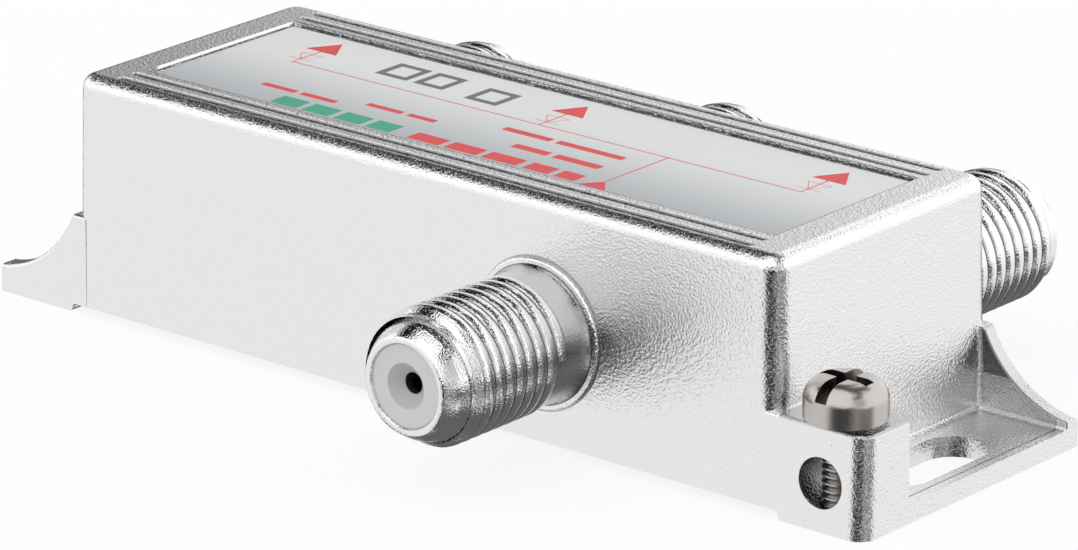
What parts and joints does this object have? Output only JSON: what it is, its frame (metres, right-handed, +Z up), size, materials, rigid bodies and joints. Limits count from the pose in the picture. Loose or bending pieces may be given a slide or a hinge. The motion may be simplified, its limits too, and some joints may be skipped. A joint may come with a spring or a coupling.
{
  "type": "coaxial splitter",
  "caption": "Flat silver die-cast coaxial splitter: threaded input socket at the front, threaded outputs at the back, slotted mounting ears and an earthing screw.",
  "frame": {"origin": "foot plane, under the middle of the housing", "axes": "+X along the length to the ear with the earth block, +Y from the input side to the output side, +Z up from the feet to the label"},
  "size_m": [0.0768, 0.05, 0.0176],
  "materials": {
    "cast_housing": "silver lacquer over blasted zinc casting",
    "tin_cover": "dull tinned sheet",
    "label_foil": "silver foil with red print",
    "nickel": "bright nickel plate",
    "screw_steel": "bright plated steel",
    "insulator_white": "off-white moulding",
    "contact_bronze": "tinned spring bronze",
    "board_green": "lacquered board",
    "ferrite": "sintered dark grey",
    "copper_wire": "enamelled copper",
    "ceramic": "fired ceramic with tinned ends",
    "resistor_film": "glazed film with tinned ends",
    "diode_black": "black moulding with tinned leads",
    "choke_wound": "dark ferrite drum with copper coil"
  },
  "bodies": {
    "splitter": {"housing": "cast_housing", "bottom_cover": "tin_cover", "label": "label_foil", "input_socket": "nickel", "output_1_socket": "nickel", "output_2_socket": "nickel", "output_3_socket": "nickel", "input_insulator": "insulator_white", "output_1_insulator": "insulator_white", "output_2_insulator": "insulator_white", "output_3_insulator": "insulator_white", "input_rear_insulator": "insulator_white", "output_1_rear_insulator": "insulator_white", "output_2_rear_insulator": "insulator_white", "output_3_rear_insulator": "insulator_white", "input_contact": "contact_bronze", "output_1_contact": "contact_bronze", "output_2_contact": "contact_bronze", "output_3_contact": "contact_bronze", "circuit_board": "board_green", "splitter_core_1": "ferrite", "splitter_core_2": "ferrite", "splitter_core_3": "ferrite", "splitter_winding_1": "copper_wire", "splitter_winding_2": "copper_wire", "splitter_winding_3": "copper_wire", "input_capacitor": "ceramic", "output_1_capacitor": "ceramic", "output_2_capacitor": "ceramic", "output_3_capacitor": "ceramic", "balance_resistor_1": "resistor_film", "balance_resistor_2": "resistor_film", "supply_diode_1": "diode_black", "supply_diode_2": "diode_black", "supply_diode_3": "diode_black", "supply_choke_1": "choke_wound", "supply_choke_2": "choke_wound", "supply_choke_3": "choke_wound", "supply_choke_4": "choke_wound"},
    "earth_screw": {"earth_screw": "screw_steel"}
  },
  "joints": [
    {"name": "earth_screw_travel", "type": "slide", "parent": "splitter", "child": "earth_screw", "axis": [0, 0, 1], "range_m": [-0.0003, 0.0051]}
  ]
}
